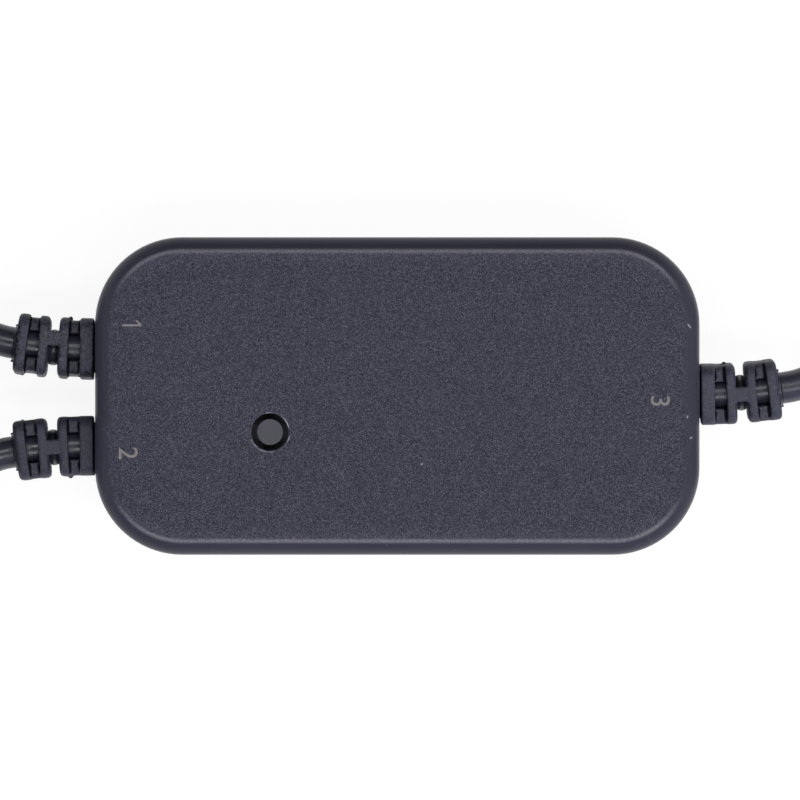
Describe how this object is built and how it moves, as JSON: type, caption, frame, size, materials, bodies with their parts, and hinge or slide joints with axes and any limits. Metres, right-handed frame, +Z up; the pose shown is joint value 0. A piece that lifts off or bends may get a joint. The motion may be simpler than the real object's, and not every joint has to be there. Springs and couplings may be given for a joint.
{
  "type": "garage door controller",
  "caption": "Flat rounded electronics case with a recessed push button and moulded-on leads, switching a garage door opener and reading a door sensor.",
  "frame": {"origin": "middle of the case's underside, on the surface that the case lies on", "axes": "+Z up through the button face, +X along the case to the single power lead, +Y across it to the sensor lead's side"},
  "size_m": [0.1887, 0.0472, 0.0186],
  "materials": {
    "case_plastic": "fine spark-eroded grain, dark bluish grey",
    "button_plastic": "smooth satin grey",
    "chip_plastic": "matt black moulding",
    "ferrite": "matt dark grey",
    "tinned_steel": "bright tinned sheet",
    "tinned_leg": "tinned",
    "board_laminate": "green solder mask",
    "radio_laminate": "black solder mask",
    "screw_steel": "zinc plated",
    "antenna_copper": "gold-flashed copper",
    "relay_plastic": "white moulding",
    "capacitor_can": "drawn aluminium",
    "led_lens": "clear yellow lens",
    "chip_ceramic": "tan ceramic",
    "wire_white": "smooth white insulation",
    "wire_black": "smooth black insulation",
    "wire_red": "smooth red insulation",
    "relief_pvc": "moulded, dull, slightly grained",
    "lead_pvc": "smooth semi-gloss jacket",
    "tie_plastic": "soft black strap",
    "tinned_strand": "tinned copper strand",
    "socket_pvc": "moulded, dull black"
  },
  "bodies": {
    "case": {"top_cover": "case_plastic", "bottom_cover": "case_plastic", "switch_base": "chip_plastic", "radio_chip": "chip_plastic", "regulator_chip": "chip_plastic", "capacitor_bases": "chip_plastic", "protection_diode": "chip_plastic", "chip_resistors": "chip_plastic", "power_inductor": "ferrite", "switch_cover": "tinned_steel", "switch_dome": "tinned_steel", "radio_shield": "tinned_steel", "socket_sleeve": "tinned_steel", "socket_pin": "tinned_steel", "switch_legs": "tinned_leg", "relay_legs": "tinned_leg", "regulator_legs": "tinned_leg", "inductor_terminals": "tinned_leg", "diode_terminals": "tinned_leg", "solder_joints": "tinned_leg", "circuit_board": "board_laminate", "radio_board": "radio_laminate", "board_screws": "screw_steel", "radio_antenna": "antenna_copper", "relay_case": "relay_plastic", "capacitor_cans": "capacitor_can", "status_led": "led_lens", "chip_capacitors": "chip_ceramic", "sensor_wire_white": "wire_white", "opener_wire_white": "wire_white", "sensor_end_white": "wire_white", "opener_end_white": "wire_white", "sensor_wire_black": "wire_black", "opener_wire_black": "wire_black", "power_wire_black": "wire_black", "sensor_end_black": "wire_black", "opener_end_black": "wire_black", "power_wire_red": "wire_red", "sensor_relief": "relief_pvc", "opener_relief": "relief_pvc", "power_relief": "relief_pvc", "sensor_cable": "lead_pvc", "opener_cable": "lead_pvc", "power_cable": "lead_pvc", "sensor_lead": "lead_pvc", "opener_lead": "lead_pvc", "power_lead": "lead_pvc", "sensor_coil": "lead_pvc", "opener_coil": "lead_pvc", "power_coil": "lead_pvc", "power_tail": "lead_pvc", "left_tie": "tie_plastic", "right_tie": "tie_plastic", "sensor_tips": "tinned_strand", "opener_tips": "tinned_strand", "power_socket": "socket_pvc"},
    "button": {"button_cap": "button_plastic", "switch_plunger": "chip_plastic"}
  },
  "joints": [
    {"name": "button_press", "type": "slide", "parent": "case", "child": "button", "axis": [0, 0, -1], "range_m": [0, 0.00025], "stiffness_N_per_m": 6000, "deforming": ["switch_dome"]}
  ]
}
